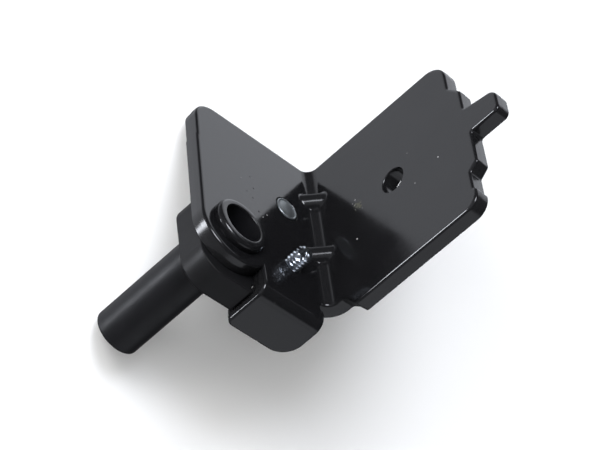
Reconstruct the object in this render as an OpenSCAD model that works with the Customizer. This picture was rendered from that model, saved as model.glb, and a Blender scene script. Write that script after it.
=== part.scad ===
// Lower hinge of a refrigerator: a stamped steel bracket with a hollow hinge pin,
// a moulded riser block round the pin, the screw that holds the block and a rivet.
// Z points up along the hinge pin and Y to the rear, towards the cabinet.
// The origin is on the pin axis, at the upper face of the pin plate.

/* [Plate stock] */
// Thickness of the steel plate
plate_t = 4.55; // [3:0.05:6]
// Inner radius of the main bend
bend_r = 3; // [1.5:0.1:4]

/* [Pin plate] */
// Radius of the plate's round end about the pin axis
nose_r = 11.85; // [11:0.05:14]
// Distance from the pin axis to the front face of the mounting plate
web_y = 31.1; // [30:0.1:40]
// Distance from the pin axis to the far side of both plates
far_x = 44.2; // [36:0.1:60]
// Outward slant of the pin plate's far side towards the front
far_flare = 1.3; // [0.5:0.1:3]
// Inward slant of the front edge between the round end and the far corner
front_slant = 1.5; // [0.5:0.1:3]
// Radius of the pin plate's far front corner
far_corner_r = 7; // [2:0.1:9]
// Distance from the far side to the small step in the front edge, where two cuts meet
cut_step_run = 13.7; // [10:0.1:20]
// Depth of that step
cut_step = 0.25; // [0.1:0.05:0.5]

/* [Mounting plate] */
// Distance from the pin axis to the near side of the mounting plate
near_x = 14.5; // [14:0.1:20]
// Depth of the far stretch of the lower edge under the pin plate's upper face
far_drop = 55.2; // [45:0.1:75]
// Extra depth of the near stretch of the lower edge
near_extra = 1.4; // [0.5:0.1:2]
// Radius of the lower far corner, where the edge has room for it
far_low_r = 6.5; // [2:0.1:9]
// Radius of the lower near corner
near_low_r = 4.6; // [2:0.1:4.8]
// Place of the bolt hole across the plate
bolt_x = 16.5; // [8:0.1:24]
// Depth of the bolt hole under the pin plate's upper face
bolt_drop = 32.3; // [24:0.1:40]
// Diameter of the bolt hole
bolt_d = 7.3; // [5:0.1:9]

/* [Finger and steps of the lower edge] */
// Place of the locating finger's straight near side
finger_x = 10.7; // [8:0.1:13]
// Width of the finger at its root
finger_w = 9.9; // [8:0.1:11]
// Width of the finger at its tip
finger_tip_w = 7.9; // [6:0.1:8]
// Length of the finger below the far stretch of the edge
finger_l = 14.2; // [8:0.1:18]
// Radius of the finger's far tip corner
finger_far_r = 3; // [1:0.1:3.5]
// Radius of the finger's near tip corner
finger_near_r = 1.9; // [1:0.1:3]
// Height of the raised step on the finger's far side
far_step_h = 3.5; // [2:0.1:5]
// Width of that step
far_step_w = 7.4; // [5:0.1:8]
// Sideways run of its slanted side
far_step_run = 4.2; // [2:0.1:5]
// Height of the raised step on the finger's near side
near_step_h = 2.9; // [2:0.1:5]
// Width of that step
near_step_w = 11; // [8:0.1:12]
// Sideways run of its slanted side
near_step_run = 2.2; // [1:0.1:3]
// Height of the small lip beside the near corner
lip_h = 0.7; // [0.3:0.1:1]
// Width of the lip with its rounded corner
lip_w = 4.9; // [4.8:0.1:6]
// Radius of the corners of the steps, as the die leaves them
die_r = 0.6; // [0.2:0.05:0.8]

/* [Relief at the bend] */
// Setback of the main bend's near end from the ear's bend
relief_gap = 2.25; // [1.5:0.05:3]
// Depth at which the mounting plate regains its full width
relief_drop = 13.4; // [13:0.1:16]
// Height of the slanted side of the relief
relief_rise = 2.2; // [1:0.1:2.5]
// Sideways run of that slanted side
relief_run = 3.3; // [2:0.1:4]
// Radius of the relief's inner corner
relief_r = 1.5; // [0.5:0.1:2]

/* [Door stop ear] */
// Distance from the pin axis to the ear's outer face
ear_x = 17; // [14:0.1:21]
// Place of the ear's front end behind the pin axis
ear_y = 8; // [7.6:0.1:9]
// Width of the ear
ear_w = 21.2; // [14:0.1:22]
// Height of the ear over the pin plate
ear_h = 10.7; // [8:0.1:16]
// Inner radius of the ear's bend
ear_in_r = 0.6; // [0.4:0.1:1.5]
// Short flat between the ear's bend and the outline of the pin plate
ear_flat = 0.4; // [0.2:0.1:1]
// Outer radius of the ear's bend
ear_out_r = 4; // [3:0.1:4.5]
// Radius of the ear's rear upper corner
ear_rear_r = 6.2; // [2:0.1:8]
// Radius of the ear's front upper corner
ear_front_r = 2; // [1:0.1:5]

/* [Pressed darts] */
// Places of the two darts along the bend
dart_x = [10, 31];
// Radius of each dart's round crest
dart_r = 2.2; // [1.5:0.1:2.6]
// Height of the crest over the sharp corner of the two inner faces
dart_crest = 3.3; // [2.8:0.1:4]
// Depth to which the crest's ends run into the plates
dart_sink = 0.7; // [0.4:0.1:1.2]

/* [Hinge pin] */
// Outside diameter of the hollow pin
pin_d = 13.7; // [11:0.1:17]
// Wall of the hollow pin
pin_wall = 1.1; // [1:0.1:2.5]
// Height of the pin over the pin plate
pin_h = 42; // [30:0.1:60]
// Radius of the pin's rounded end
pin_end_r = 0.9; // [0.3:0.05:1]
// Width by which the pin's root inside the riser block stands out beyond the pin
root_lip = 0.3; // [0.1:0.1:0.6]
// Width of the shoulder on the plate's upper face beyond the pin
shoulder_lip = 0.7; // [0.7:0.1:1]
// Thickness of the shoulder
shoulder_h = 1.4; // [1:0.1:2]
// Width of the collar under the plate beyond the pin
collar_lip = 1.25; // [0.8:0.05:2]
// Height of the collar under the plate
collar_h = 2.5; // [1.5:0.1:4]
// Radius of the collar's lower edge
collar_r = 0.9; // [0.3:0.1:1.2]

/* [Riser block] */
// Reach of the block from the pin axis on the ear's side
riser_near_w = 14.6; // [12:0.1:16]
// Reach of the block from the pin axis on the far side
riser_far_w = 12.8; // [12:0.1:15]
// Wall of the block in front of the pin's root and behind it
riser_wall = 1.3; // [1.2:0.1:3]
// Height of the block
riser_h = 8.3; // [6:0.1:12]
// Radius of the block's upright front corners
riser_front_r = 5; // [2:0.1:6]
// Radius of the block's upright rear corners
riser_rear_r = 3.8; // [2:0.1:5]
// Radius of the block's upper edge
riser_edge_r = 1.3; // [0.5:0.1:1.5]
// Half width of the tongue that runs back to the screw
tongue_half_w = 7; // [5.5:0.1:8]
// Thickness of the tongue
tongue_t = 2.4; // [1.5:0.1:3]

/* [Screw and rivet] */
// Place of the screw behind the pin axis
screw_y = 19.5; // [18:0.1:20]
// Diameter of the screw
screw_d = 4.83; // [4:0.01:5.5]
// Length of the screw under its head
screw_l = 12.8; // [11:0.1:16]
// Height of the screw's tapered tip
screw_tip_h = 1; // [0.5:0.1:2]
// Diameter of the tip's end
screw_tip_d = 3.6; // [2.5:0.1:3.8]
// Diameter of the screw's head
head_d = 9.4; // [8:0.1:11]
// Height of the screw's head
head_h = 3.2; // [2.5:0.1:4]
// Radius of the head's upper edge
head_r = 1.9; // [0.5:0.1:2.1]
// Span of the cross recess in the head
recess_w = 5; // [3:0.1:6]
// Width of one slot of the cross recess
recess_slot = 1.2; // [0.8:0.1:1.6]
// Depth of the cross recess
recess_depth = 1.9; // [1:0.1:2.2]
// Place of the rivet across the hinge
rivet_x = 22.2; // [20:0.1:26]
// Place of the rivet behind the pin axis
rivet_y = 20.3; // [16:0.1:21]
// Diameter of the rivet's shank
rivet_d = 7.1; // [5:0.1:8]
// Diameter of the rivet's head
rivet_head_d = 11; // [9:0.1:12]
// Height of the rivet's domed head
rivet_head_h = 2.6; // [1.5:0.1:3.5]

/* [Fits] */
// Gap round the pin, the screw and the rivet in the plate
hole_gap = 0.1; // [0.05:0.01:0.3]
// Gap between the riser block and what stands in it
riser_gap = 0.25; // [0.1:0.05:0.5]

/* [Hidden] */
$fn = 96;
bend_out_r = bend_r + plate_t;
// Where the pin plate's flat ends and the mounting plate's flat begins
flat_y = web_y - bend_r;
flat_z = -plate_t - bend_r;
back_y = web_y + plate_t;
under_z = -plate_t;
tip_z = -far_drop - finger_l;
ear_in_x = -ear_x + plate_t;
ear_root_x = ear_in_x + ear_in_r + ear_flat;
relief_x = -ear_root_x - relief_gap;
pin_r = pin_d / 2;
root_r = pin_r + root_lip;
shoulder_r = pin_r + shoulder_lip;
riser_reach = root_r + riser_gap + riser_wall;
// Run of a cutting tool past the faces that it cuts
past = 1;
steel_black = [0.07, 0.07, 0.08];
plastic_black = [0.05, 0.05, 0.05];
bare_metal = [0.75, 0.77, 0.80];

function unit(v) = v / norm(v);
function before(pts, i) = pts[(i + len(pts) - 1) % len(pts)];
function after(pts, i) = pts[(i + 1) % len(pts)];
// Directions from corner i to its two neighbours, and half the angle between them
function to_before(pts, i) = unit(before(pts, i) - pts[i]);
function to_after(pts, i) = unit(after(pts, i) - pts[i]);
function half_angle(pts, i) = acos(to_before(pts, i) * to_after(pts, i)) / 2;
// Positive at an outward corner of a counter-clockwise outline
function outward(pts, i) =
    let (a = to_before(pts, i), b = to_after(pts, i)) b[0] * a[1] - b[1] * a[0];
// Centre of the circle of radius r that touches both sides of corner i
function corner_centre(pts, i, r) =
    pts[i] + unit(to_before(pts, i) + to_after(pts, i)) * r / sin(half_angle(pts, i));
// The two points where that circle touches the sides
function corner_feet(pts, i, r) =
    let (run = r / tan(half_angle(pts, i)))
    [pts[i] + to_before(pts, i) * run, pts[i] + to_after(pts, i) * run];
// Point where a line from p touches the circle of radius r about the origin, p on its left
function touch_point(p, r) =
    let (a = atan2(p[1], p[0]) - acos(r / norm(p))) r * [cos(a), sin(a)];

// The part of corner i's circle that lies between its two feet
module corner_arc(pts, i, r) {
    centre = corner_centre(pts, i, r);
    feet = corner_feet(pts, i, r);
    intersection() {
        translate(centre) circle(r);
        polygon([centre, feet[0], pts[i], feet[1]]);
    }
}

// Counter-clockwise outline with a true arc at each corner that has a radius
module rounded_outline(pts, radii) {
    corners = [for (i = [0 : len(pts) - 1]) if (radii[i] > 0) i];
    difference() {
        union() {
            polygon([for (i = [0 : len(pts) - 1])
                each radii[i] > 0 ? corner_feet(pts, i, radii[i]) : [pts[i]]]);
            for (i = corners)
                if (outward(pts, i) > 0) corner_arc(pts, i, radii[i]);
        }
        for (i = corners)
            if (outward(pts, i) < 0) corner_arc(pts, i, radii[i]);
    }
}

// Runs a section drawn in Y and Z along X from x0 to x1
module along_x(x0, x1) {
    translate([x0, 0, 0]) rotate([90, 0, 90]) linear_extrude(x1 - x0) children();
}

// Runs a section drawn in X and Z along Y from y0 to y1
module along_y(y0, y1) {
    translate([0, y1, 0]) rotate([90, 0, 0]) linear_extrude(y1 - y0) children();
}

// Flat pin plate up to the start of the main bend, with its round end about the pin
module pin_plate() {
    corner = [far_x + far_flare, front_slant - nose_r];
    start = touch_point(corner, nose_r);
    cut_step_x = far_x - cut_step_run;
    step = start + (corner - start) * (cut_step_x - start[0]) / (corner[0] - start[0]);
    translate([0, 0, under_z]) linear_extrude(plate_t) {
        circle(nose_r);
        rounded_outline(
            [start, step, step + [0, cut_step], corner + [0, cut_step], [far_x, flat_y],
             [ear_root_x, flat_y], [ear_root_x, ear_y], [0, ear_y]],
            [0, 0, 0, far_corner_r, 0, 0, 0, 0]);
    }
}

// Outline of the mounting plate in X and Z, with its finger, steps and relief
module mounting_outline() {
    near_low = -far_drop - near_extra;
    near_corner = near_low - lip_h;
    far_step = -far_drop - far_step_h;
    near_step = near_low - near_step_h;
    finger_far = finger_x + finger_w;
    step_far = finger_far + far_step_w;
    step_near = finger_x - near_step_w;
    lip_x = -near_x + lip_w;
    slant_top = -relief_drop + relief_rise;
    far_room = far_x - step_far - far_step_run - die_r;
    rounded_outline(
        [[-near_x, near_corner], [lip_x, near_corner], [lip_x + lip_h, near_low],
         [step_near - near_step_run, near_low], [step_near, near_step], [finger_x, near_step],
         [finger_x, tip_z], [finger_x + finger_tip_w, tip_z], [finger_far, far_step],
         [step_far, far_step], [step_far + far_step_run, -far_drop], [far_x, -far_drop],
         [far_x, past], [-relief_x, past], [-relief_x, slant_top + relief_rise],
         [-near_x + relief_run, slant_top], [-near_x, -relief_drop]],
        [near_low_r, 0, 0, die_r, die_r, die_r,
         finger_near_r, finger_far_r, die_r,
         die_r, die_r, min(far_low_r, far_room),
         0, 0, relief_r,
         die_r, die_r]);
}

// Main bend and mounting plate, cut to their outline
module hanging_plate() {
    intersection() {
        along_x(-near_x - past, far_x + past) {
            translate([flat_y, flat_z]) difference() {
                intersection() {
                    circle(bend_out_r);
                    square(bend_out_r);
                }
                circle(bend_r);
            }
            translate([web_y, tip_z - past]) square([plate_t, flat_z - tip_z + past]);
        }
        along_y(flat_y, back_y + past) mounting_outline();
    }
}

// Ear that is bent up from the pin plate's near side and stops the door
module ear() {
    intersection() {
        along_y(ear_y, ear_y + ear_w) rounded_outline(
            [[ear_root_x, under_z], [ear_root_x, 0], [ear_in_x, 0], [ear_in_x, ear_h],
             [-ear_x, ear_h], [-ear_x, under_z]],
            [0, 0, ear_in_r, 0, 0, ear_out_r]);
        along_x(-ear_x - past, ear_root_x + past) rounded_outline(
            [[ear_y, under_z - past], [ear_y + ear_w, under_z - past],
             [ear_y + ear_w, ear_h], [ear_y, ear_h]],
            [0, 0, ear_rear_r, ear_front_r]);
    }
}

// Round bar that lies across the bend at 45 degrees, its axis a height over the corner
module corner_bar(height, half_l) {
    translate([0, web_y, under_z]) rotate([45, 0, 0])
        translate([0, -height, 0]) cylinder(r = dart_r, h = 2 * half_l, center = true);
}

// Crest that a dart raises inside the bend, with its ends hidden in the two plates
module dart_crest_bar() {
    corner_bar(dart_crest - dart_r, dart_crest + dart_sink);
}

// Dimple that the same punch leaves outside the bend, one thickness deeper
module dart_dimple_bar() {
    corner_bar(dart_crest - dart_r - plate_t, 3 * plate_t);
}

module hinge_bracket() {
    color(steel_black) difference() {
        union() {
            pin_plate();
            ear();
            hanging_plate();
            for (x = dart_x) translate([x, 0, 0]) dart_crest_bar();
        }
        for (x = dart_x) translate([x, 0, 0]) dart_dimple_bar();
        translate([0, 0, under_z - past]) {
            cylinder(r = pin_r + hole_gap, h = plate_t + 2 * past);
            translate([0, screw_y, 0]) cylinder(d = screw_d + 2 * hole_gap, h = plate_t + 2 * past);
            translate([rivet_x, rivet_y, 0])
                cylinder(d = rivet_d + 2 * hole_gap, h = plate_t + 2 * past);
        }
        translate([bolt_x, back_y + past, -bolt_drop]) rotate([90, 0, 0])
            cylinder(d = bolt_d, h = plate_t + 2 * past);
    }
}

// Hollow pin, turned with a shoulder on the plate and staked to a collar under it
module hinge_pin() {
    bore_r = pin_r - pin_wall;
    low = under_z - collar_h;
    color(steel_black) rotate_extrude() rounded_outline(
        [[bore_r, low], [pin_r + collar_lip, low], [pin_r + collar_lip, under_z],
         [pin_r, under_z], [pin_r, 0], [shoulder_r, 0], [shoulder_r, shoulder_h],
         [root_r, shoulder_h], [root_r, riser_h], [pin_r, riser_h],
         [pin_r, pin_h], [bore_r, pin_h]],
        [0, collar_r, 0, 0, 0, 0, 0, 0, 0, 0, pin_end_r, 0]);
}

// Upright round corner of the block with a rounded upper edge
module soft_corner(x, y, r) {
    translate([x, y, 0]) rotate_extrude()
        rounded_outline([[0, 0], [r, 0], [r, riser_h], [0, riser_h]], [0, 0, riser_edge_r, 0]);
}

// Block with upright rounded corners and a rounded upper edge all round
module soft_block() {
    x0 = -riser_near_w;
    x1 = riser_far_w;
    y0 = -riser_reach;
    y1 = riser_reach;
    for (x = [x0 + riser_front_r, x1 - riser_front_r])
        soft_corner(x, y0 + riser_front_r, riser_front_r);
    for (x = [x0 + riser_rear_r, x1 - riser_rear_r])
        soft_corner(x, y1 - riser_rear_r, riser_rear_r);
    along_y(y0 + riser_front_r, y1 - riser_rear_r) rounded_outline(
        [[x0, 0], [x1, 0], [x1, riser_h], [x0, riser_h]], [0, 0, riser_edge_r, riser_edge_r]);
    along_x(x0 + riser_front_r, x1 - riser_front_r) rounded_outline(
        [[y0, 0], [0, 0], [0, riser_h], [y0, riser_h]], [0, 0, 0, riser_edge_r]);
    along_x(x0 + riser_rear_r, x1 - riser_rear_r) rounded_outline(
        [[0, 0], [y1, 0], [y1, riser_h], [0, riser_h]], [0, 0, riser_edge_r, 0]);
}

// Moulded block that carries the door, with a tongue back to its screw
module riser_block() {
    color(plastic_black) difference() {
        union() {
            soft_block();
            linear_extrude(tongue_t) {
                translate([0, screw_y]) circle(tongue_half_w);
                translate([-tongue_half_w, 0]) square([2 * tongue_half_w, screw_y]);
            }
        }
        // Notch that clears the front end of the ear
        translate([-ear_x - past, ear_y - riser_gap, -past])
            cube([ear_in_x + ear_in_r + ear_x + riser_gap + past, ear_w, riser_h + 2 * past]);
        translate([0, 0, -past]) {
            cylinder(r = root_r + riser_gap, h = riser_h + 2 * past);
            cylinder(r = shoulder_r + riser_gap, h = shoulder_h + riser_gap + past);
            translate([0, screw_y, 0])
                cylinder(d = screw_d + 2 * riser_gap, h = tongue_t + 2 * past);
        }
    }
}

// Thread-cutting screw, its pan head with a cross recess on the tongue
module riser_screw() {
    r = screw_d / 2;
    low = tongue_t - screw_l;
    top = tongue_t + head_h;
    color(bare_metal) translate([0, screw_y, 0]) difference() {
        rotate_extrude() rounded_outline(
            [[0, low], [screw_tip_d / 2, low], [r, low + screw_tip_h], [r, tongue_t],
             [head_d / 2, tongue_t], [head_d / 2, top], [0, top]],
            [0, 0, 0, 0, 0, head_r, 0]);
        for (turn = [0, 90]) rotate(turn)
            translate([-recess_w / 2, -recess_slot / 2, top - recess_depth])
                cube([recess_w, recess_slot, head_h]);
    }
}

// Solid rivet with its shank flush under the plate and a domed head above it
module stop_rivet() {
    edge_r = rivet_head_d / 2;
    // Radius of the ball that gives the dome its height over the head's width
    ball = (edge_r * edge_r + rivet_head_h * rivet_head_h) / (2 * rivet_head_h);
    color(bare_metal) translate([rivet_x, rivet_y, 0]) {
        translate([0, 0, under_z]) cylinder(d = rivet_d, h = plate_t);
        intersection() {
            translate([0, 0, rivet_head_h - ball]) sphere(ball);
            cylinder(r = edge_r + past, h = rivet_head_h + past);
        }
    }
}

hinge_bracket();
hinge_pin();
riser_block();
riser_screw();
stop_rivet();
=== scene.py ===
import math

import bmesh
import bpy
from mathutils import Matrix, Vector


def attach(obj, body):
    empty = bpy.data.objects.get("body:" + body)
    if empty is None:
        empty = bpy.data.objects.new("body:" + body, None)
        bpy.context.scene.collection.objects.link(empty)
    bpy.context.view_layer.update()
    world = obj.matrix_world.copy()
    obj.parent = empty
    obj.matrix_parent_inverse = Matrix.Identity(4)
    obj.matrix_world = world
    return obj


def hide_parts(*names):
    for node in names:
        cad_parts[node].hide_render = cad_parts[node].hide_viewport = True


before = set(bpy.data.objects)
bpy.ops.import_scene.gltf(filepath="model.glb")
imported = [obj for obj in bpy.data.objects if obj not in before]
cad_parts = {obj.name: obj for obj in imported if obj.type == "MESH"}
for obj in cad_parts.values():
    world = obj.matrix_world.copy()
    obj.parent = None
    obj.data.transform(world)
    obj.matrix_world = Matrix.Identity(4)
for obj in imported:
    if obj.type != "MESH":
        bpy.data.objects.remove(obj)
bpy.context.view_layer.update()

# The camera looks down on the table, into the inside of the hinge's bend. The hinge
# stands there on the end of its pin, with its underside up.
eye = bpy.data.cameras.new("eye")
eye.lens = 184.227
eye.sensor_width = 36
eye.clip_start = 0.01
eye.dof.use_dof = False
eye_right = Vector((-0.1003538, 0.7191317, -0.6875891))
eye_up = Vector((0.6601368, -0.4689313, -0.5867903))
eye_back = Vector((-0.7444115, -0.5127895, -0.4276662))
eye_place = Vector((-0.58043, -0.38820, -0.34886))
camera = bpy.data.objects.new("camera", eye)
camera.matrix_world = Matrix.Translation(eye_place) @ Matrix((eye_right, eye_up, eye_back)).transposed().to_4x4()
bpy.context.scene.collection.objects.link(camera)
bpy.context.scene.camera = camera
bpy.context.scene.view_settings.view_transform = "Standard"

# The bracket is one piece of hot-rolled steel plate. A press blanks its outline, punches
# four holes, folds the mounting plate down and the door stop ear up, and presses two
# darts across the main bend. It is dipped in glossy black paint after that.
plate = 4.55
bend_inside = 3.0
bend_outside = bend_inside + plate
bend_start = 28.1                    # where the pin plate's flat ends
web_front = bend_start + bend_inside
bend_length = math.pi / 2 * 5.0      # developed length of the main bend
ear_bend_start = -11.85
ear_bend_length = 4.0
ear_inside, ear_outside = 0.6, 4.0   # radii of the ear's bend
ear_face = -12.45


def along_sheet(height):
    """Place along the flat blank of a height on the mounting plate."""
    return bend_start + bend_length - bend_outside - height


def rounded_face(bm, corners, nose=None):
    """One face from its corner points, each with its radius, and a round nose about the origin."""
    points = [bm.verts.new((x, y, 0)) for (x, y), radius in corners]
    loop = list(points)
    if nose:
        turn = bmesh.ops.spin(bm, geom=[points[-1]], cent=(0, 0, 0), axis=(0, 0, 1),
                              angle=nose, steps=56, use_duplicate=False)
        last = [v for v in turn["geom_last"] if isinstance(v, bmesh.types.BMVert)][0]
        arc, here, before = [], last, None
        while here is not points[-1]:
            arc.append(here)
            step = [e.other_vert(here) for e in here.link_edges if e.other_vert(here) is not before]
            before, here = here, step[0]
        loop += arc[::-1]
    bm.faces.new(loop)
    for point, ((x, y), radius) in zip(points, corners):
        if radius:
            sides = [(e.other_vert(point).co - point.co).normalized() for e in point.link_edges]
            half = sides[0].angle(sides[1]) / 2
            bmesh.ops.bevel(bm, geom=[point], offset=radius / math.tan(half), offset_type="OFFSET",
                            segments=max(5, int(radius * 4)), profile=0.5, affect="VERTICES",
                            material=-1)
    bm.faces.ensure_lookup_table()
    return bm.faces[0]


def draw_in(bm, face, steps):
    """Draws the rim of a face inwards, one ring for each pair of inward and outward steps."""
    for inward, outward in steps:
        bmesh.ops.inset_region(bm, faces=[face], thickness=inward, depth=outward,
                               use_even_offset=True)


def punch(bm, x, y, rings, segments=72):
    """The wall of a round hole as rings of radius and height. Gives its first and last edges."""
    made = bmesh.ops.create_circle(bm, cap_ends=False, radius=rings[0][0], segments=segments,
                                   matrix=Matrix.Translation((x, y, rings[0][1])))
    edges = list({e for v in made["verts"] for e in v.link_edges})
    first = edges
    for (r0, z0), (r1, z1) in zip(rings, rings[1:]):
        grown = bmesh.ops.extrude_edge_only(bm, edges=edges)["geom"]
        verts = [g for g in grown if isinstance(g, bmesh.types.BMVert)]
        edges = [g for g in grown if isinstance(g, bmesh.types.BMEdge)]
        bmesh.ops.translate(bm, verts=verts, vec=(0, 0, z1 - z0))
        bmesh.ops.scale(bm, verts=verts, vec=(r1 / r0, r1 / r0, 1),
                        space=Matrix.Translation((-x, -y, 0)))
    return first, edges


def reopen(bm, face, loops):
    """Fills a face again round the mouths of its holes."""
    rim = list(face.edges)
    normal = face.normal.copy()
    index = face.material_index
    bmesh.ops.delete(bm, geom=[face], context="FACES_ONLY")
    made = bmesh.ops.triangle_fill(bm, edges=rim + [e for loop in loops for e in loop],
                                   use_beauty=True, normal=normal)
    for g in made["geom"]:
        if isinstance(g, bmesh.types.BMFace):
            g.material_index = index
            if g.normal.dot(normal) < 0:
                g.normal_flip()


def cut(bm, faces, place, direction):
    """Cuts faces along a plane."""
    geom = set(faces)
    for f in faces:
        geom.update(f.edges)
        geom.update(f.verts)
    bmesh.ops.bisect_plane(bm, geom=list(geom), dist=1e-5, plane_co=place, plane_no=direction)


blank = bmesh.new()
far, near = 44.2, -14.5
sharp = 1.05
lower_edge = [
    ((far, -55.2), 6.5), ((32.2, -55.2), sharp), ((28.0, -58.7), sharp), ((20.6, -58.7), 0.9),
    ((18.6, -69.4), 3.0), ((10.7, -69.4), 1.9), ((10.7, -59.5), 0.7), ((-0.3, -59.5), sharp),
    ((-2.5, -56.6), sharp), ((-8.4, -56.6), 1.0), ((-9.1, -57.3), 1.0), ((near, -57.3), 4.6),
    ((near, -13.4), 1.05), ((-11.2, -11.2), 1.1), ((-9.2, -9.0), 1.5)]
ear_tip = ear_bend_start - ear_bend_length - 10.1
nose_radius = 11.85
nose_from = math.radians(137.54)
nose_to = math.radians(271.9)
outline = [((30.5, -10.846), 0), ((30.5, -10.6), 0), ((45.5, -10.1), 7.0), ((far, bend_start), 0)]
outline += [((x, along_sheet(z)), radius) for (x, z), radius in lower_edge]
outline += [((-9.2, bend_start), 0.6), ((-11.45, bend_start), 0.3), ((-11.45, 29.2), 0.78),
            ((ear_tip, 29.2), 6.2), ((ear_tip, 8.0), 2.0),
            ((nose_radius * math.cos(nose_from), nose_radius * math.sin(nose_from)), 0)]
under = rounded_face(blank, outline, nose_to - nose_from)
roll_deep, roll_wide, split = 0.75, 0.9, 2.3
bmesh.ops.translate(blank, verts=list(blank.verts), vec=(0, 0, roll_deep - plate))
if under.normal.z > 0:
    under.normal_flip()
grown = bmesh.ops.extrude_face_region(blank, geom=[under], use_keep_orig=True)["geom"]
top = [g for g in grown if isinstance(g, bmesh.types.BMFace)][0]
bmesh.ops.translate(blank, verts=list(top.verts), vec=(0, 0, split - roll_deep))
bmesh.ops.recalc_face_normals(blank, faces=list(blank.faces))
for f in blank.faces:
    f.material_index = 1
blank.faces.ensure_lookup_table()
under = min(blank.faces, key=lambda f: (f.calc_center_median().z, f.normal.z))
top = max(blank.faces, key=lambda f: (f.calc_center_median().z, f.normal.z))
# The lower edges roll over under the punch
turns = [math.radians(10 * i) for i in range(10)]
under.material_index = 0
draw_in(blank, under, [(roll_wide * (math.cos(a) - math.cos(b)), roll_deep * (math.sin(b) - math.sin(a)))
                       for a, b in zip(turns, turns[1:])] + [(0.08, 0)])
# The upper part of the cut breaks off a little inside the sheared part
draw_in(blank, top, [(0.1, 0.05), (0.07, plate - split - 0.25)])
top.material_index = 0
draw_in(blank, top, [(0.03, 0.1), (0.07, 0.07), (0.1, 0.03), (0.3, 0)])
mouths_top, mouths_under = [], []
bolt_at = (16.5, along_sheet(-32.3))
for (x, y), radius in (((0, 0), 6.95), ((0, 19.5), 2.52), ((22.2, 20.3), 3.68), (bolt_at, 3.65)):
    wide = 0.25
    rings = [(radius + 0.06, 0), (radius + 0.02, -0.05), (radius, -0.15), (radius, 0.4 - plate),
             (radius + 0.1, 0.13 - plate), (radius + wide, -plate)]
    first, last = punch(blank, x, y, rings)
    mouths_top.append(first)
    mouths_under.append(last)
reopen(blank, top, mouths_top)
reopen(blank, under, mouths_under)
# The die bends between fine cuts across the sheet
for i in range(25):
    cut(blank, blank.faces[:], (0, bend_start + bend_length * i / 24, 0), (0, 1, 0))
for i in range(19):
    ear_side = [f for f in blank.faces if f.calc_center_median().x < -9 and f.calc_center_median().y < 29.3]
    cut(blank, ear_side, (ear_bend_start - ear_bend_length * i / 18, 0, 0), (1, 0, 0))
dart_places = (10.0, 31.0)
for x in dart_places:
    zone = [x - 3.6, x + 3.6, bend_start - 4.6, bend_start + bend_length + 4.6]

    def in_zone(f):
        c = f.calc_center_median()
        return zone[0] - 9 < c.x < zone[1] + 9 and zone[2] - 14 < c.y < zone[3] + 9

    for side in zone[:2]:
        cut(blank, [f for f in blank.faces if in_zone(f)], (side, 0, 0), (1, 0, 0))
    for side in zone[2:]:
        cut(blank, [f for f in blank.faces if in_zone(f)], (0, side, 0), (0, 1, 0))

    def inside(f):
        c = f.calc_center_median()
        return zone[0] < c.x < zone[1] and zone[2] < c.y < zone[3]

    for i in range(1, 24):
        cut(blank, [f for f in blank.faces if inside(f)], (zone[0] + 7.2 * i / 24, 0, 0), (1, 0, 0))
    for i in range(1, 12):
        cut(blank, [f for f in blank.faces if inside(f)], (0, zone[2] + 4.6 * i / 12, 0), (0, 1, 0))
        cut(blank, [f for f in blank.faces if inside(f)], (0, zone[3] - 4.6 * i / 12, 0), (0, 1, 0))


def folded(co):
    """Where a point of the flat blank lies once the ear and the mounting plate are bent."""
    x, y, deep = co.x, co.y, -co.z
    z = -deep
    if x < ear_bend_start and y < bend_start + 2:
        run = (ear_bend_start - x) / ear_bend_length
        if run < 1:
            turn = run * math.pi / 2
            inner = Vector((ear_bend_start - ear_inside * math.sin(turn), ear_inside * (1 - math.cos(turn))))
            lead = ear_outside + ear_face - plate - ear_bend_start
            flat = abs(lead)
            path = run * (2 * flat + ear_outside * math.pi / 2)
            if path < flat:
                outer = Vector((ear_bend_start - path, -plate))
            elif path < flat + ear_outside * math.pi / 2:
                turn = (path - flat) / ear_outside
                outer = Vector((ear_bend_start - flat - ear_outside * math.sin(turn),
                                -plate + ear_outside * (1 - math.cos(turn))))
            else:
                outer = Vector((ear_face - plate, -plate + ear_outside + path - flat - ear_outside * math.pi / 2))
            place = inner.lerp(outer, deep / plate)
            x, z = place.x, place.y
        else:
            z = ear_inside + ear_bend_length * (run - 1)
            x = ear_face - deep
        return Vector((x, y, z))
    if y > bend_start:
        run = (y - bend_start) / bend_length
        reach = bend_outside - deep
        if run < 1:
            turn = run * math.pi / 2
            y = bend_start + reach * math.sin(turn)
            z = reach * math.cos(turn) - bend_outside
        else:
            y = bend_start + reach
            z = -bend_outside - bend_length * (run - 1)
    return Vector((x, y, z))


dart_round, dart_crest = 2.8, 3.6
diagonal = Vector((0, -1, -1)).normalized()


def pressed(co, deep):
    """Where a dart's punch leaves a point near the bend."""
    corner = Vector((co.x, web_front, -plate))
    height = (co - corner).dot(diagonal)
    side = min(abs(co.x - x) for x in dart_places)
    if side < dart_round:
        crest = math.sqrt(dart_round ** 2 - side ** 2)
    else:
        crest = -4 * (side - dart_round)
    crest += dart_crest - dart_round - (0 if deep > plate / 2 else plate)
    soft = 0.35
    gap = abs(height - crest)
    return co + diagonal * (max(height, crest) - height + max(soft - gap, 0) ** 2 / (4 * soft))


for v in blank.verts:
    deep = -v.co.z
    near_bend = bend_start - 6 < v.co.y < bend_start + bend_length + 6 and v.co.x > 0
    v.co = folded(v.co)
    if near_bend and min(abs(v.co.x - x) for x in dart_places) < 3.6:
        v.co = pressed(v.co, deep)
bmesh.ops.scale(blank, verts=list(blank.verts), vec=(0.001, 0.001, 0.001))


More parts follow.
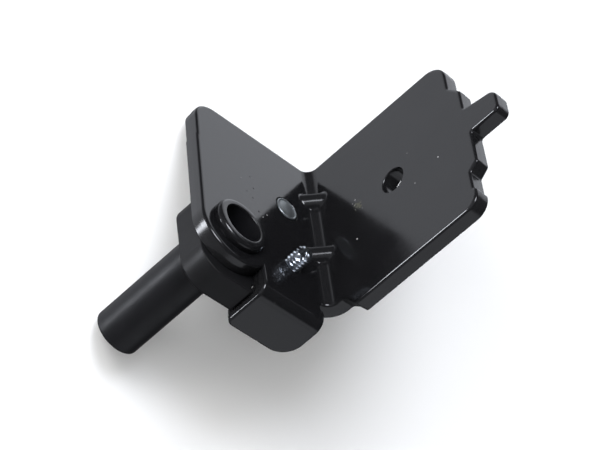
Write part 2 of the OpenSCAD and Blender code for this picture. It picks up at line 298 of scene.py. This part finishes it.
def finish_piece(bm, name, materials, node, crease=35):
    """Makes the object of a finished mesh, which stands for its CAD node."""
    for f in bm.faces:
        f.smooth = True
    for e in bm.edges:
        if len(e.link_faces) == 2 and e.calc_face_angle(0) > math.radians(crease):
            e.smooth = False
    mesh = bpy.data.meshes.new(name)
    bm.to_mesh(mesh)
    bm.free()
    for m in materials:
        mesh.materials.append(m)
    piece = bpy.data.objects.new(name, mesh)
    bpy.context.scene.collection.objects.link(piece)
    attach(piece, "root")
    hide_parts(node)
    return piece


def finish_recipe(name):
    """A new material with its shader, and a function that adds a node with its values or links."""
    material = bpy.data.materials.new(name)
    material.use_nodes = True
    tree = material.node_tree
    tree.nodes.clear()
    shader = tree.nodes.new("ShaderNodeBsdfPrincipled")
    output = tree.nodes.new("ShaderNodeOutputMaterial")
    tree.links.new(shader.outputs["BSDF"], output.inputs["Surface"])

    def add(kind, inputs=(), **settings):
        node = tree.nodes.new("ShaderNode" + kind)
        for key, value in settings.items():
            setattr(node, key, value)
        for key, value in dict(inputs).items():
            put(node.inputs[key], value)
        return node

    def put(socket, value):
        if isinstance(value, bpy.types.NodeSocket):
            tree.links.new(value, socket)
        else:
            socket.default_value = value

    return material, shader, add, put


def spots(add, place, marks, ragged):
    """A mask that is 1 inside each mark, a place in millimetres with its radius."""
    total = None
    for (x, y, z), radius in marks:
        far_off = add("VectorMath", {0: place, 1: (x / 1000, y / 1000, z / 1000)}, operation="DISTANCE")
        rough_edge = add("Math", {0: far_off.outputs["Value"], 1: ragged}, operation="MULTIPLY")
        inside = add("MapRange", {"Value": rough_edge.outputs[0], "From Min": radius * 0.0003,
                                  "From Max": radius * 0.001, "To Min": 1.0, "To Max": 0.0})
        total = inside.outputs["Result"] if total is None else add(
            "Math", {0: total, 1: inside.outputs["Result"]}, operation="MAXIMUM").outputs[0]
    return total


def black_paint(name, rough, peel, colour):
    """Glossy black paint with orange peel, dust nibs, chips, one scuff and faint dull smears."""
    material, shader, add, put = finish_recipe(name)
    place = add("TexCoord").outputs["Object"]
    smear = add("TexNoise", {"Vector": place, "Scale": 90, "Detail": 4, "Roughness": 0.6})
    fine = add("TexNoise", {"Vector": place, "Scale": 900, "Detail": 3, "Roughness": 0.6})
    skin = add("TexNoise", {"Vector": place, "Scale": 420, "Detail": 2, "Roughness": 0.5})
    nibs = add("TexVoronoi", {"Vector": place, "Scale": 210, "Randomness": 1.0})
    nib = add("MapRange", {"Value": nibs.outputs["Distance"], "From Min": 0.02, "From Max": 0.07,
                           "To Min": 1.0, "To Max": 0.0})
    few = add("MapRange", {"Value": nibs.outputs["Color"], "From Min": 0.60, "From Max": 0.64,
                           "To Min": 0.0, "To Max": 1.0})
    speck = add("Math", {0: nib.outputs["Result"], 1: few.outputs["Result"]}, operation="MULTIPLY")
    dull = add("MapRange", {"Value": smear.outputs["Fac"], "From Min": 0.35, "From Max": 0.75,
                            "To Min": rough, "To Max": rough + 0.10})
    grain = add("MapRange", {"Value": fine.outputs["Fac"], "From Min": 0.3, "From Max": 0.8,
                             "To Min": -0.02, "To Max": 0.04})
    both = add("Math", {0: dull.outputs["Result"], 1: grain.outputs["Result"]}, operation="ADD")
    tone = add("Mix", {0: smear.outputs["Fac"], 6: (*colour, 1), 7: (*[c * 1.5 for c in colour], 1)},
               data_type="RGBA")
    ragged = add("MapRange", {"Value": add("TexNoise", {"Vector": place, "Scale": 2600, "Detail": 2}).outputs["Fac"],
                              "From Min": 0.3, "From Max": 0.7, "To Min": 0.5, "To Max": 1.9}).outputs["Result"]
    dust = spots(add, place, dust_places, ragged)
    chip = spots(add, place, chip_places, ragged)
    scuff = spots(add, place, scuff_places, ragged)
    chipped = add("Mix", {0: chip, 2: both.outputs[0], 3: 0.75}, data_type="FLOAT")
    rubbed = add("Mix", {0: scuff, 2: chipped.outputs[0], 3: 0.42}, data_type="FLOAT")
    dusty = add("Mix", {0: dust, 2: rubbed.outputs[0], 3: 0.6}, data_type="FLOAT")
    put(shader.inputs["Roughness"], dusty.outputs[0])
    soiled = add("Mix", {0: scuff, 6: tone.outputs[2], 7: (0.040, 0.040, 0.028, 1)}, data_type="RGBA")
    grey = add("Mix", {0: dust, 6: soiled.outputs[2], 7: (0.42, 0.42, 0.42, 1)}, data_type="RGBA")
    put(shader.inputs["Base Color"], grey.outputs[2])
    shader.inputs["IOR"].default_value = 1.5
    first = add("Bump", {"Height": skin.outputs["Fac"], "Strength": 1.0, "Distance": peel})
    second = add("Bump", {"Height": speck.outputs[0], "Strength": 1.0, "Distance": 0.00012,
                          "Normal": first.outputs["Normal"]})
    put(shader.inputs["Normal"], second.outputs["Normal"])
    return material


# Wear and dirt of the one in the photograph: dust and chips on both inner faces, and a
# scuff on the mounting plate between its bolt hole and the bend.
dust_places = [((13.86, 12.05, -4.55), 0.22), ((11.88, 10.38, -4.55), 0.18), ((11.22, 31.1, -47.93), 0.22),
               ((6.55, 31.1, -17.42), 0.26), ((8.99, 31.1, -39.17), 0.14), ((21.55, 31.1, -38.51), 0.14),
               ((20.57, 31.1, -18.97), 0.20), ((18.8, 31.1, -18.6), 0.14), ((19.9, 31.1, -17.9), 0.16),
               ((15.6, 31.1, -20.9), 0.12), ((17.2, 31.1, -18.5), 0.12)]
chip_places = [((25.63, 7.43, -4.55), 0.30), ((21.58, 8.19, -4.55), 0.38), ((18.63, 5.51, -4.55), 0.26),
               ((17.29, 7.49, -4.55), 0.34), ((13.13, 9.11, -4.55), 0.42)]
scuff_places = [((17.94, 31.1, -19.66), 1.5), ((16.9, 31.1, -20.3), 0.9), ((18.9, 31.1, -18.9), 0.8)]
bracket_gloss = black_paint("bracket gloss", 0.10, 0.000004, (0.0045, 0.0045, 0.005))
sheared_edge = black_paint("painted sheared edge", 0.16, 0.000012, (0.007, 0.007, 0.0075))
bracket = finish_piece(blank, "bracket", [bracket_gloss, sheared_edge], "hinge_bracket")
even = bracket.modifiers.new("even normals", "WEIGHTED_NORMAL")
even.keep_sharp = True
even.weight = 80

# The hinge pin is a hollow pin, turned from steel and painted black. Its lower end is
# staked through the pin plate into a round collar, and a shoulder stops it from above.
def turned(profile, rounds, steps=128):
    """A closed outline of radii and heights turned about Z, with its ring edges rounded."""
    bm = bmesh.new()
    points = [bm.verts.new((r, 0, z)) for r, z in profile]
    edges = [bm.edges.new((a, b)) for a, b in zip(points, points[1:] + points[:1])]
    bmesh.ops.spin(bm, geom=points + edges, cent=(0, 0, 0), axis=(0, 0, 1), angle=2 * math.pi,
                   steps=steps, use_merge=True)
    bmesh.ops.remove_doubles(bm, verts=list(bm.verts), dist=1e-4)
    bmesh.ops.recalc_face_normals(bm, faces=list(bm.faces))
    for r, z, size, segments in rounds:
        ring = [e for e in bm.edges if all(abs(v.co.xy.length - r) < 1e-3 and abs(v.co.z - z) < 1e-3
                                           for v in e.verts)]
        bmesh.ops.bevel(bm, geom=ring, offset=size, offset_type="OFFSET", segments=segments,
                        profile=0.5, affect="EDGES", material=-1)
    return bm


pin = turned(
    [(5.75, -7.05), (8.1, -7.05), (8.1, -4.55), (6.85, -4.55), (6.85, 0.0), (7.55, 0.0), (7.55, 1.4),
     (7.15, 1.4), (7.15, 8.3), (6.85, 8.3), (6.85, 42.0), (5.75, 42.0)],
    [(5.75, -7.05, 0.35, 5), (8.1, -7.05, 1.2, 10), (8.1, -4.55, 0.15, 2), (7.55, 1.4, 0.2, 2),
     (6.85, 42.0, 0.8, 8), (5.75, 42.0, 0.2, 3)])
bmesh.ops.scale(pin, verts=list(pin.verts), vec=(0.001, 0.001, 0.001))


def satin_black(name, rough, colour, turning, stretch, sheen):
    """Satin black over steel, with fine marks that run round or along the piece."""
    material, shader, add, put = finish_recipe(name)
    place = add("TexCoord").outputs["Object"]
    drawn = add("Mapping", {"Vector": place, "Scale": stretch})
    lines = add("TexNoise", {"Vector": drawn.outputs["Vector"], "Scale": turning, "Detail": 4,
                             "Roughness": 0.6})
    smear = add("TexNoise", {"Vector": place, "Scale": 160, "Detail": 4, "Roughness": 0.55})
    dull = add("MapRange", {"Value": smear.outputs["Fac"], "From Min": 0.3, "From Max": 0.7,
                            "To Min": rough, "To Max": rough + 0.12})
    put(shader.inputs["Roughness"], dull.outputs["Result"])
    tone = add("Mix", {0: smear.outputs["Fac"], 6: (*colour, 1), 7: (*[c * 1.7 for c in colour], 1)},
               data_type="RGBA")
    put(shader.inputs["Base Color"], tone.outputs[2])
    shader.inputs["Specular IOR Level"].default_value = sheen
    bump = add("Bump", {"Height": lines.outputs["Fac"], "Strength": 1.0, "Distance": 0.000006})
    put(shader.inputs["Normal"], bump.outputs["Normal"])
    return material


pin_black = satin_black("pin black", 0.36, (0.004, 0.004, 0.0048), 900, (1, 1, 0.12), 0.26)
collar_gloss = black_paint("collar gloss", 0.13, 0.000004, (0.0045, 0.0045, 0.005))
for f in pin.faces:
    f.material_index = 1 if f.calc_center_median().z < -0.004 else 0
pin_piece = finish_piece(pin, "pin", [pin_black, collar_gloss], "hinge_pin")

# The riser block is moulded black plastic. It sits on the pin plate round the pin, carries
# the door, and has a flat tongue that runs back to its screw.
riser = bmesh.new()
lower = rounded_face(riser, [
    ((-15.2, -9.2), 7.5), ((12.8, -9.2), 5.0), ((12.8, 8.7), 3.8), ((7.0, 8.7), 1.0),
    ((7.0, 26.5), 6.98), ((-7.0, 26.5), 6.98), ((-7.0, 8.7), 1.0), ((-11.5, 8.7), 0.3),
    ((-11.5, 7.7), 0.3), ((-15.2, 7.7), 0.8)])
if lower.normal.z > 0:
    lower.normal_flip()
tongue, riser_height = 2.4, 8.3
grown = bmesh.ops.extrude_face_region(riser, geom=[lower], use_keep_orig=True)["geom"]
level = [g for g in grown if isinstance(g, bmesh.types.BMFace)][0]
bmesh.ops.translate(riser, verts=list(level.verts), vec=(0, 0, tongue))
bmesh.ops.recalc_face_normals(riser, faces=list(riser.faces))
ends = [v for v in level.verts if abs(v.co.y - 8.7) < 1e-3 and 7.5 < abs(v.co.x) < 8.5]
bmesh.utils.face_split(level, ends[0], ends[1])
block = min([f for f in riser.faces if f.normal.z > 0.9], key=lambda f: f.calc_center_median().y)
grown = bmesh.ops.extrude_face_region(riser, geom=[block])["geom"]
crown = [g for g in grown if isinstance(g, bmesh.types.BMFace)][0]
bmesh.ops.delete(riser, geom=[block], context="FACES_ONLY")
bmesh.ops.translate(riser, verts=list(crown.verts), vec=(0, 0, riser_height - tongue))
bmesh.ops.recalc_face_normals(riser, faces=list(riser.faces))


def rim_edges(bm, height):
    """Edges at a height between a flat face and a wall."""
    return [e for e in bm.edges if all(abs(v.co.z - height) < 1e-3 for v in e.verts)
            and len(e.link_faces) == 2 and e.calc_face_angle(0) > 1]


def flat_face(bm, height, y_from, y_to):
    """The largest level face at a height whose middle lies in a range of Y."""
    level = [f for f in bm.faces if abs(f.calc_center_median().z - height) < 1e-3
             and y_from < f.calc_center_median().y < y_to]
    return max(level, key=lambda f: f.calc_area())


bmesh.ops.bevel(riser, geom=rim_edges(riser, riser_height), offset=1.1, offset_type="OFFSET",
                segments=8, profile=0.5, affect="EDGES", material=-1)
bmesh.ops.bevel(riser, geom=rim_edges(riser, 0), offset=0.3, offset_type="OFFSET",
                segments=3, profile=0.5, affect="EDGES", material=-1)
first, last = punch(riser, 0, 0, [(7.65, riser_height), (7.4, riser_height - 0.25), (7.4, 1.65), (7.8, 1.65), (7.8, 0)])
reopen(riser, flat_face(riser, riser_height, -9, 9), [first])
screw_first, screw_last = punch(riser, 0, 19.5, [(2.75, tongue), (2.66, tongue - 0.1), (2.66, 0)])
reopen(riser, flat_face(riser, tongue, 9, 30), [screw_first])
reopen(riser, flat_face(riser, 0, -9, 30), [last, screw_last])
bmesh.ops.scale(riser, verts=list(riser.verts), vec=(0.001, 0.001, 0.001))
riser_plastic = satin_black("riser plastic", 0.38, (0.005, 0.005, 0.0055), 700, (1, 1, 1), 0.20)
riser_piece = finish_piece(riser, "riser", [riser_plastic], "riser_block")
even = riser_piece.modifiers.new("even normals", "WEIGHTED_NORMAL")
even.keep_sharp = True

# The riser screw is a number 10 thread-cutting screw, zinc plated. It goes down through
# the tongue, cuts its own thread in the pin plate, and its tip stands out under it.
screw_low, screw_top, pitch = 2.4 - 12.8, 2.4 + 3.2, 1.058
crest, root = 2.41, 1.80
thread_rows = 170
shaft = bmesh.new()
edge = [shaft.verts.new((crest, 0, screw_low + (2.4 - screw_low) * i / thread_rows))
        for i in range(thread_rows + 1)]
chain = [shaft.edges.new((a, b)) for a, b in zip(edge, edge[1:])]
bmesh.ops.spin(shaft, geom=edge + chain, cent=(0, 0, 0), axis=(0, 0, 1), angle=2 * math.pi,
               steps=96, use_merge=True)
bmesh.ops.remove_doubles(shaft, verts=list(shaft.verts), dist=1e-4)
tip = [e for e in shaft.edges if all(abs(v.co.z - screw_low) < 1e-4 for v in e.verts)]
for v in shaft.verts:
    turn = math.atan2(v.co.y, v.co.x) / (2 * math.pi)
    phase = (v.co.z / pitch - turn) % 1
    flank = min(max((abs(phase - 0.5) * 2 - 0.12) / 0.72, 0), 1)
    radius = crest - (crest - root) * flank
    # The tip tapers off over the last turn
    radius = min(radius, 1.15 + 1.15 * max(v.co.z - screw_low, 0) ** 0.7)
    # The cutting flute is a slot down one side of the tip
    direction = v.co.xy.normalized()
    flute = direction.dot(Vector((-0.35, -0.94)).normalized())
    if v.co.z < screw_low + 3.4 and flute > 0.55:
        deep = 0.9 * min(1, (screw_low + 3.4 - v.co.z) / 1.2)
        radius = min(radius, max(crest - deep * (flute - 0.55) / 0.45 * 1.6, 1.0))
    v.co.x, v.co.y = direction.x * radius, direction.y * radius
cap = bmesh.ops.contextual_create(shaft, geom=tip)["faces"]
bmesh.ops.recalc_face_normals(shaft, faces=list(shaft.faces))
bmesh.ops.inset_region(shaft, faces=cap, thickness=0.35, depth=-0.1)
bmesh.ops.inset_region(shaft, faces=cap, thickness=0.5, depth=0.1)
head_ring = [e for e in shaft.edges if all(abs(v.co.z - 2.4) < 1e-4 for v in e.verts)]
for radius, height in ((4.55, 2.4), (4.7, 2.55), (4.7, 3.6), (4.55, 4.2), (4.15, 4.8), (3.5, 5.25), (2.9, 5.45), (2.75, 5.5)):
    grown = bmesh.ops.extrude_edge_only(shaft, edges=head_ring)["geom"]
    ring = [g for g in grown if isinstance(g, bmesh.types.BMVert)]
    head_ring = [g for g in grown if isinstance(g, bmesh.types.BMEdge)]
    for v in ring:
        direction = v.co.xy.normalized()
        v.co = Vector((direction.x * radius, direction.y * radius, height))
crown = bmesh.ops.contextual_create(shaft, geom=head_ring)["faces"]
bmesh.ops.recalc_face_normals(shaft, faces=list(shaft.faces))
# The cross recess is pressed into the head, narrower at its bottom
arm, half, crown_height, recess_deep = 2.4, 0.6, 5.5, 1.9
recess = bmesh.new()
mouth = rounded_face(recess, [
    ((arm, -half), 0.15), ((arm, half), 0.15), ((half, half), 0.2), ((half, arm), 0.15),
    ((-half, arm), 0.15), ((-half, half), 0.2), ((-arm, half), 0.15), ((-arm, -half), 0.15),
    ((-half, -half), 0.2), ((-half, -arm), 0.15), ((half, -arm), 0.15), ((half, -half), 0.2)])
grown = bmesh.ops.extrude_face_region(recess, geom=[mouth])["geom"]
if mouth.is_valid:
    bmesh.ops.delete(recess, geom=[mouth], context="FACES_ONLY")
bottom = [g for g in grown if isinstance(g, bmesh.types.BMVert)]
bmesh.ops.translate(recess, verts=bottom, vec=(0, 0, -recess_deep))
bmesh.ops.scale(recess, verts=bottom, vec=(0.5, 0.5, 1))
bmesh.ops.translate(recess, verts=list(recess.verts), vec=(0, 0, crown_height))
pressed_in = bpy.data.meshes.new("recess")
recess.to_mesh(pressed_in)
recess.free()
shaft.from_mesh(pressed_in)
bpy.data.meshes.remove(pressed_in)
lip = [e for e in shaft.edges if len(e.link_faces) == 1 and e.verts[0].co.z > crown_height - 0.1]
reopen(shaft, crown[0], [lip])
bmesh.ops.recalc_face_normals(shaft, faces=list(shaft.faces))
bmesh.ops.translate(shaft, verts=list(shaft.verts), vec=(0, 19.5, 0))
bmesh.ops.scale(shaft, verts=list(shaft.verts), vec=(0.001, 0.001, 0.001))


def plated(name, colour, rough, marks, depth):
    """Bright plated steel, unevenly bright, with fine marks."""
    material, shader, add, put = finish_recipe(name)
    place = add("TexCoord").outputs["Object"]
    cloud = add("TexNoise", {"Vector": place, "Scale": 500, "Detail": 4, "Roughness": 0.6})
    fine = add("TexNoise", {"Vector": place, "Scale": marks, "Detail": 3, "Roughness": 0.6})
    dull = add("MapRange", {"Value": cloud.outputs["Fac"], "From Min": 0.3, "From Max": 0.7,
                            "To Min": rough, "To Max": rough + 0.15})
    put(shader.inputs["Roughness"], dull.outputs["Result"])
    tone = add("Mix", {0: cloud.outputs["Fac"], 6: (*[c * 0.75 for c in colour], 1), 7: (*colour, 1)},
               data_type="RGBA")
    put(shader.inputs["Base Color"], tone.outputs[2])
    shader.inputs["Metallic"].default_value = 1.0
    bump = add("Bump", {"Height": fine.outputs["Fac"], "Strength": 1.0, "Distance": depth})
    put(shader.inputs["Normal"], bump.outputs["Normal"])
    return material


zinc = plated("bright zinc", (0.86, 0.92, 1.0), 0.14, 3000, 0.000002)
screw_piece = finish_piece(shaft, "riser_screw_piece", [zinc], "riser_screw", crease=50)

# The stop rivet is plain steel. Its shank fills its hole and ends nearly flush under the
# pin plate, and its domed head sits on top.
ball = (5.5 ** 2 + 2.6 ** 2) / (2 * 2.6)
dome = [(5.5 * math.cos(math.radians(a)), 2.6 - ball + math.sqrt(ball ** 2 - (5.5 * math.cos(math.radians(a))) ** 2))
        for a in range(0, 91, 9)]
profile = [(0.0, -4.66), (2.2, -4.66), (2.85, -4.60), (3.0, -4.62), (3.12, -4.72), (3.25, -4.75), (3.4, -4.72),
           (3.5, -4.6), (3.54, -4.4), (3.55, 0.0)]
profile += [(5.45, 0.0)] + [(r, max(z, 0.12)) for r, z in dome[:-1]] + [(0.0, 2.6)]
rivet = bmesh.new()
points = [rivet.verts.new((r, 0, z)) for r, z in profile]
chain = [rivet.edges.new((a, b)) for a, b in zip(points, points[1:])]
bmesh.ops.spin(rivet, geom=points + chain, cent=(0, 0, 0), axis=(0, 0, 1), angle=2 * math.pi,
               steps=96, use_merge=True)
bmesh.ops.remove_doubles(rivet, verts=list(rivet.verts), dist=1e-4)
bmesh.ops.recalc_face_normals(rivet, faces=list(rivet.faces))
bmesh.ops.translate(rivet, verts=list(rivet.verts), vec=(22.2, 20.3, 0))
bmesh.ops.scale(rivet, verts=list(rivet.verts), vec=(0.001, 0.001, 0.001))
rivet_steel = plated("rivet steel", (0.44, 0.47, 0.48), 0.34, 2600, 0.000009)
rivet_piece = finish_piece(rivet, "stop_rivet_piece", [rivet_steel], "stop_rivet", crease=50)

# The hinge rests on a pale table on the end of its pin and the far edge of its pin plate.
table_mesh = bpy.data.meshes.new("table")
top_of_table = bmesh.new()
bmesh.ops.create_grid(top_of_table, x_segments=1, y_segments=1, size=3)
table_up = Vector((-0.73, 0.02, -0.683)).normalized()
bmesh.ops.rotate(top_of_table, verts=list(top_of_table.verts), cent=(0, 0, 0),
                 matrix=table_up.to_track_quat("Z", "Y").to_matrix())
bmesh.ops.translate(top_of_table, verts=list(top_of_table.verts), vec=table_up * -0.0338)
top_of_table.to_mesh(table_mesh)
top_of_table.free()
table = bpy.data.objects.new("table", table_mesh)
bpy.context.scene.collection.objects.link(table)
table.visible_diffuse = False
table.visible_glossy = False
table.visible_shadow = False
table.visible_transmission = False
material, shader, add, put = finish_recipe("table paint")
fibre = add("TexNoise", {"Vector": add("TexCoord").outputs["Object"], "Scale": 30, "Detail": 3})
paper = add("Mix", {0: fibre.outputs["Fac"], 6: (0.955, 0.955, 0.95, 1), 7: (0.985, 0.985, 0.98, 1)},
            data_type="RGBA")
put(shader.inputs["Base Color"], paper.outputs[2])
shader.inputs["Roughness"].default_value = 0.9
shader.inputs["Specular IOR Level"].default_value = 0.0
see_through = add("BsdfTransparent")
pick = add("MixShader", {0: add("NewGeometry").outputs["Backfacing"], 1: shader.outputs["BSDF"],
                         2: see_through.outputs["BSDF"]})
output = [n for n in material.node_tree.nodes if n.type == "OUTPUT_MATERIAL"][0]
put(output.inputs["Surface"], pick.outputs[0])
table_mesh.materials.append(material)

world = bpy.data.worlds.new("studio")
bpy.context.scene.world = world
world.use_nodes = True
sky = world.node_tree
sky.nodes.clear()


def sky_node(kind, inputs=(), **settings):
    """A node of the studio with its values or links."""
    node = sky.nodes.new("ShaderNode" + kind)
    for key, value in settings.items():
        setattr(node, key, value)
    for key, value in dict(inputs).items():
        if isinstance(value, bpy.types.NodeSocket):
            sky.links.new(value, node.inputs[key])
        else:
            node.inputs[key].default_value = value
    return node


# Each soft light is a patch of the studio round a direction, with its strength and the
# cosines between which it fades.
way = sky_node("TexCoord").outputs["Generated"]
wavy = sky_node("TexNoise", {"Vector": way, "Scale": 2.2, "Detail": 2, "Roughness": 0.5})
total = None
for direction, strength, outer, inner in (
            ((0.744, 0.513, -0.428), 1.25, 0.80, 0.93),      # table beyond the pin plate
            ((0.744, -0.513, 0.428), 0.74, 0.78, 0.95),      # room behind the mounting plate
            ((-0.744, 0.513, 0.428), 0.62, 0.80, 0.93),      # table before the ear
            ((-0.45, -0.30, 0.84), 0.22, 0.70, 0.95),        # dim wall over the pin
            ((0.0, -1.0, 0.02), 0.40, 0.88, 0.97),           # dim walls on the other sides
            ((1.0, 0.0, 0.03), 0.40, 0.88, 0.97),
            ((-0.64, -0.64, -0.42), 0.35, 0.90, 0.97),
            ((0.12, -0.89, 0.43), 24.0, 0.986, 0.995),        # window
            ((-0.20, -0.45, -0.87), 15.0, 0.962, 0.985)):      # lamp over the photographer
    facing = sky_node("VectorMath", {0: way, 1: Vector(direction).normalized()}, operation="DOT_PRODUCT")
    patch = sky_node("MapRange", {"Value": facing.outputs["Value"], "From Min": outer,
                                  "From Max": inner, "To Min": 0.0, "To Max": strength},
                     interpolation_type="SMOOTHSTEP")
    total = patch.outputs["Result"] if total is None else sky_node(
        "Math", {0: total, 1: patch.outputs["Result"]}, operation="ADD").outputs[0]
uneven = sky_node("MapRange", {"Value": wavy.outputs["Fac"], "From Min": 0.3, "From Max": 0.7,
                               "To Min": 0.85, "To Max": 1.12})
varied = sky_node("Math", {0: total, 1: uneven.outputs["Result"]}, operation="MULTIPLY")
room = sky_node("Math", {0: varied.outputs[0], 1: 0.08}, operation="ADD")
glow = sky_node("Background", {"Color": (0.90, 0.93, 1.0, 1), "Strength": room.outputs[0]})
white = sky_node("Background", {"Color": (1, 1, 1, 1), "Strength": 1.0})
window_way = (eye_up * 0.60 - eye_right * 0.45 + eye_back * 0.66).normalized()
lit_side = sky_node("VectorMath", {0: way, 1: window_way}, operation="DOT_PRODUCT")
daylight = sky_node("MapRange", {"Value": lit_side.outputs["Value"], "From Min": 0.15, "From Max": 1.0,
                                 "To Min": 0.12, "To Max": 2.75}, interpolation_type="SMOOTHSTEP")
even_light = sky_node("Background", {"Color": (1, 1, 1, 1), "Strength": daylight.outputs["Result"]})
ray = sky_node("LightPath").outputs
matt = sky_node("MixShader", {0: ray["Is Diffuse Ray"], 1: glow.outputs[0], 2: even_light.outputs[0]})
either = sky_node("MixShader", {0: ray["Is Camera Ray"], 1: matt.outputs[0], 2: white.outputs[0]})
sky_node("OutputWorld", {"Surface": either.outputs[0]})


def soft_lamp(name, place, target, size, power):
    """A square lamp that faces the hinge."""
    data = bpy.data.lights.new(name, "AREA")
    data.shape = "SQUARE"
    data.size = size
    data.energy = power
    lamp = bpy.data.objects.new(name, data)
    lamp.location = place
    lamp.rotation_euler = (Vector(target) - Vector(place)).to_track_quat("-Z", "Y").to_euler()
    bpy.context.scene.collection.objects.link(lamp)
    return lamp


middle = Vector((0.014, 0.016, -0.015))
key_way = (eye_up * 0.50 - eye_right * 0.22 + eye_back * 0.77).normalized()
key = soft_lamp("key", middle + key_way * 0.9, middle, 0.25, 2.6)
key.visible_glossy = False
